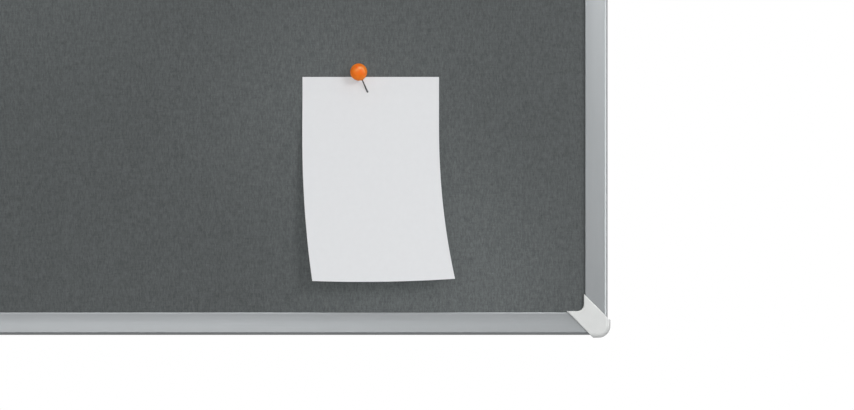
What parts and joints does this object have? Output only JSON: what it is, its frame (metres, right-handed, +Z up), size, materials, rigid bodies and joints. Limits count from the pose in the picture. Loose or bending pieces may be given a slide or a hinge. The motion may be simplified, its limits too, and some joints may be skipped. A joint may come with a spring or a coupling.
{
  "type": "felt bulletin board",
  "caption": "Wall-hung felt pin board: felt-faced softboard panel in an aluminium rail frame with pull-off corner caps over the wall fixings, and a note on a ball-headed push pin.",
  "frame": {"origin": "middle of the board on the wall plane, which is the plane of the rear faces of the rails and corner keys", "axes": "+X to the right as the viewer faces the felt, +Y into the wall, +Z up; the felt faces -Y"},
  "size_m": [0.604, 0.0327, 0.454],
  "materials": {
    "felt": "matte woven felt, charcoal grey",
    "softboard": "raw fibre softboard",
    "kraft": "plain kraft board",
    "anodised_aluminium": "satin silver anodised",
    "cap_plastic": "satin light grey moulding",
    "key_plastic": "mid grey moulding",
    "zinc_screw": "bright zinc plate",
    "pin_plastic": "gloss orange",
    "pin_steel": "dark drawn steel",
    "paper": "smooth uncoated white"
  },
  "bodies": {
    "board": {"rail_bottom": "anodised_aluminium", "rail_right": "anodised_aluminium", "rail_top": "anodised_aluminium", "rail_left": "anodised_aluminium", "rail_screw_bottom_left": "zinc_screw", "rail_screw_bottom_right": "zinc_screw", "rail_screw_right_bottom": "zinc_screw", "rail_screw_right_top": "zinc_screw", "rail_screw_top_right": "zinc_screw", "rail_screw_top_left": "zinc_screw", "rail_screw_left_top": "zinc_screw", "rail_screw_left_bottom": "zinc_screw", "corner_key_bottom_left": "key_plastic", "corner_key_bottom_right": "key_plastic", "corner_key_top_right": "key_plastic", "corner_key_top_left": "key_plastic", "back_sheet": "kraft", "softboard_core": "softboard", "felt_face": "felt"},
    "cap_bottom_left": {"corner_cap_bottom_left": "cap_plastic"},
    "cap_bottom_right": {"corner_cap_bottom_right": "cap_plastic"},
    "cap_top_right": {"corner_cap_top_right": "cap_plastic"},
    "cap_top_left": {"corner_cap_top_left": "cap_plastic"},
    "pin": {"pin_head": "pin_plastic", "pin_needle": "pin_steel"},
    "note": {"note_sheet": "paper"}
  },
  "joints": [
    {"name": "cap_pull_bottom_left", "type": "slide", "parent": "board", "child": "cap_bottom_left", "axis": [0, -1, 0], "range_m": [0, 0.02]},
    {"name": "cap_pull_bottom_right", "type": "slide", "parent": "board", "child": "cap_bottom_right", "axis": [0, -1, 0], "range_m": [0, 0.02]},
    {"name": "cap_pull_top_right", "type": "slide", "parent": "board", "child": "cap_top_right", "axis": [0, -1, 0], "range_m": [0, 0.02]},
    {"name": "cap_pull_top_left", "type": "slide", "parent": "board", "child": "cap_top_left", "axis": [0, -1, 0], "range_m": [0, 0.02]},
    {"name": "pin_pull", "type": "slide", "parent": "board", "child": "pin", "axis": [-0.3605, -0.4578, 0.8127], "range_m": [0, 0.03]},
    {"name": "note_swing", "type": "hinge", "parent": "pin", "child": "note", "pos_m": [0.1203, -0.0135, -0.043], "axis": [0, -1, 0], "continuous": true}
  ]
}
